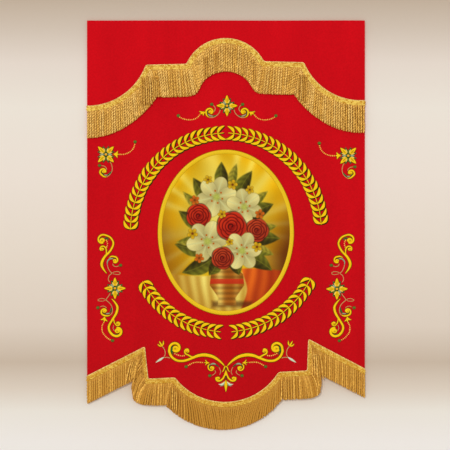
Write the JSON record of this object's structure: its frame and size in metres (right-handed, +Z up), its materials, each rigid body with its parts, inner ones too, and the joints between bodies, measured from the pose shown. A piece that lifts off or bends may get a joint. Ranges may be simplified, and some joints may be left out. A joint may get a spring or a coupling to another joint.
{
  "type": "hanging devotional flag",
  "caption": "Tall cloth flag that hangs by its top edge, with a stepped and lobed hem, two corded fringes and an oval patch with a raised rim.",
  "frame": {"origin": "the middle of the flag's top edge, where it is held", "axes": "+Z up, the flag's face towards -Y, +X to the right of someone who looks at the face"},
  "size_m": [1.0001, 0.0199, 1.4736],
  "materials": {
    "red_cloth": "matte plain-woven red cloth",
    "gold_cord": "twisted gold cord with a soft sheen",
    "picture_cloth": "matte picture-weight cloth in golds",
    "yellow_braid": "satin-stitched yellow edging",
    "gold_thread": "satin-stitch embroidery thread"
  },
  "bodies": {
    "root": {"panel": "red_cloth", "upper_fringe": "gold_cord", "lower_fringe": "gold_cord", "medallion": "picture_cloth", "medallion_border": "yellow_braid"}
  },
  "joints": []
}
